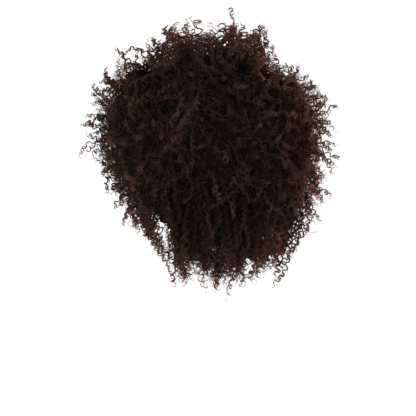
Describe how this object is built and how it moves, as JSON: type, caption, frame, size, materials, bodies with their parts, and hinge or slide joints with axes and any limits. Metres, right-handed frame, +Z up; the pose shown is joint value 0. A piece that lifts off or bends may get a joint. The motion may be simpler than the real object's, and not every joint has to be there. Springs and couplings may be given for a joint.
{
  "type": "curly wig",
  "caption": "Full curly wig: a thin stretch cap open at the face and neck, with long dark brown corkscrew hair sewn on in zones, worn on the head.",
  "frame": {"origin": "inside of the cap where it sits on the crown of the head", "axes": "+Z up, -Y the way the wearer looks, so the back of the wig faces +Y, and +X the wearer's left"},
  "size_m": [0.3796, 0.3537, 0.4161],
  "materials": {
    "cap": "dark brown stretch net, matte",
    "hair": "dark brown fibre, soft sheen"
  },
  "bodies": {
    "root": {"wig_cap": "cap", "front_hair": "hair", "crown_hair": "hair", "left_hair": "hair", "right_hair": "hair", "back_hair": "hair", "nape_hair": "hair"}
  },
  "joints": []
}
